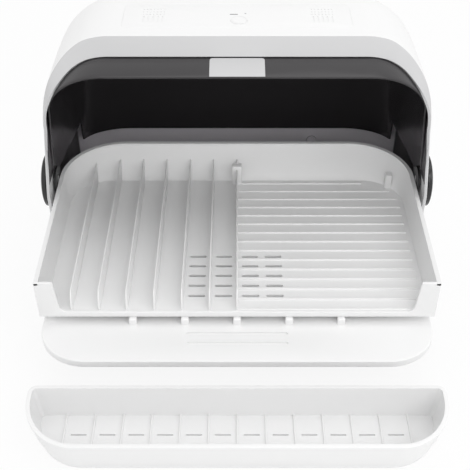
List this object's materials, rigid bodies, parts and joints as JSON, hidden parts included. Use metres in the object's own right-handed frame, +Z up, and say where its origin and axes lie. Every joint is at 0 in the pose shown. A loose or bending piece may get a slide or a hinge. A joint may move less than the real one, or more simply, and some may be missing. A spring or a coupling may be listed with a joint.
{
  "type": "uv sterilizer cabinet",
  "caption": "Countertop dish steriliser: arched white housing, smoked flip-up hood, pull-out rack drawer with plate fins, lamps inside and a separate cutlery trough.",
  "frame": {"origin": "middle of the box's footprint, on the counter, with the drawer pulled out, the hood open and the cutlery trough standing in front", "axes": "+X to the right seen from the front, +Y from the front to the back wall, +Z up"},
  "size_m": [0.444, 0.4944, 0.2826],
  "materials": {
    "white_shell": "satin white moulding",
    "rack_white": "satin white moulding",
    "smoked_hood": "polished, smoked almost black",
    "slide_plastic": "dull natural white",
    "steel": "plated",
    "rubber": "dull black",
    "reflector": "bright rolled sheet",
    "lamp_glass": "clear tube",
    "board": "coated board",
    "black_plastic": "dull black",
    "lens_grey": "clear grey",
    "lens_white": "clear white"
  },
  "bodies": {
    "cabinet": {"housing_shell": "white_shell", "base_pan": "white_shell", "control_panel": "white_shell", "slide_rail_left": "slide_plastic", "slide_rail_right": "slide_plastic", "pivot_washer_left": "slide_plastic", "pivot_washer_right": "slide_plastic", "lamp_holder_left": "slide_plastic", "lamp_holder_right": "slide_plastic", "button_spring": "steel", "floor_screw_1": "steel", "floor_screw_2": "steel", "floor_screw_3": "steel", "floor_screw_4": "steel", "floor_screw_5": "steel", "floor_screw_6": "steel", "floor_screw_7": "steel", "floor_screw_8": "steel", "rubber_foot_1": "rubber", "rubber_foot_2": "rubber", "rubber_foot_3": "rubber", "rubber_foot_4": "rubber", "reflector_liner": "reflector", "uv_lamp_front": "lamp_glass", "uv_lamp_rear": "lamp_glass", "control_board": "board", "dc_inlet": "black_plastic", "hood_switch": "black_plastic", "lamp_driver": "black_plastic", "status_lens": "lens_grey", "indicator_dot": "lens_white"},
    "hood": {"visor": "smoked_hood", "visor_handle": "white_shell", "pivot_cap_left": "smoked_hood", "pivot_cap_right": "smoked_hood", "pivot_pin_left": "steel", "pivot_pin_right": "steel", "hinge_disc_left": "black_plastic", "hinge_disc_right": "black_plastic"},
    "drawer": {"drawer_base": "rack_white", "rack_tray": "rack_white", "drawer_glide_1": "slide_plastic", "drawer_glide_2": "slide_plastic", "drawer_glide_3": "slide_plastic", "drawer_glide_4": "slide_plastic"},
    "button": {"power_button": "white_shell"},
    "trough": {"cutlery_box": "rack_white"}
  },
  "joints": [
    {"name": "hood_flip", "type": "hinge", "parent": "cabinet", "child": "hood", "pos_m": [0, 0.0792, 0.1025], "axis": [1, 0, 0], "range_deg": [0, 74.6]},
    {"name": "drawer_slide", "type": "slide", "parent": "cabinet", "child": "drawer", "axis": [0, 1, 0], "range_m": [0, 0.072]},
    {"name": "button_press", "type": "slide", "parent": "cabinet", "child": "button", "axis": [0, 0, -1], "range_m": [0, 0.001], "stiffness_N_per_m": 400, "springref_m": -0.0005, "deforming": ["button_spring"]},
    {"name": "box_lift", "type": "slide", "parent": "cabinet", "child": "trough", "axis": [0, 0, 1], "range_m": [0, 0.1]}
  ]
}
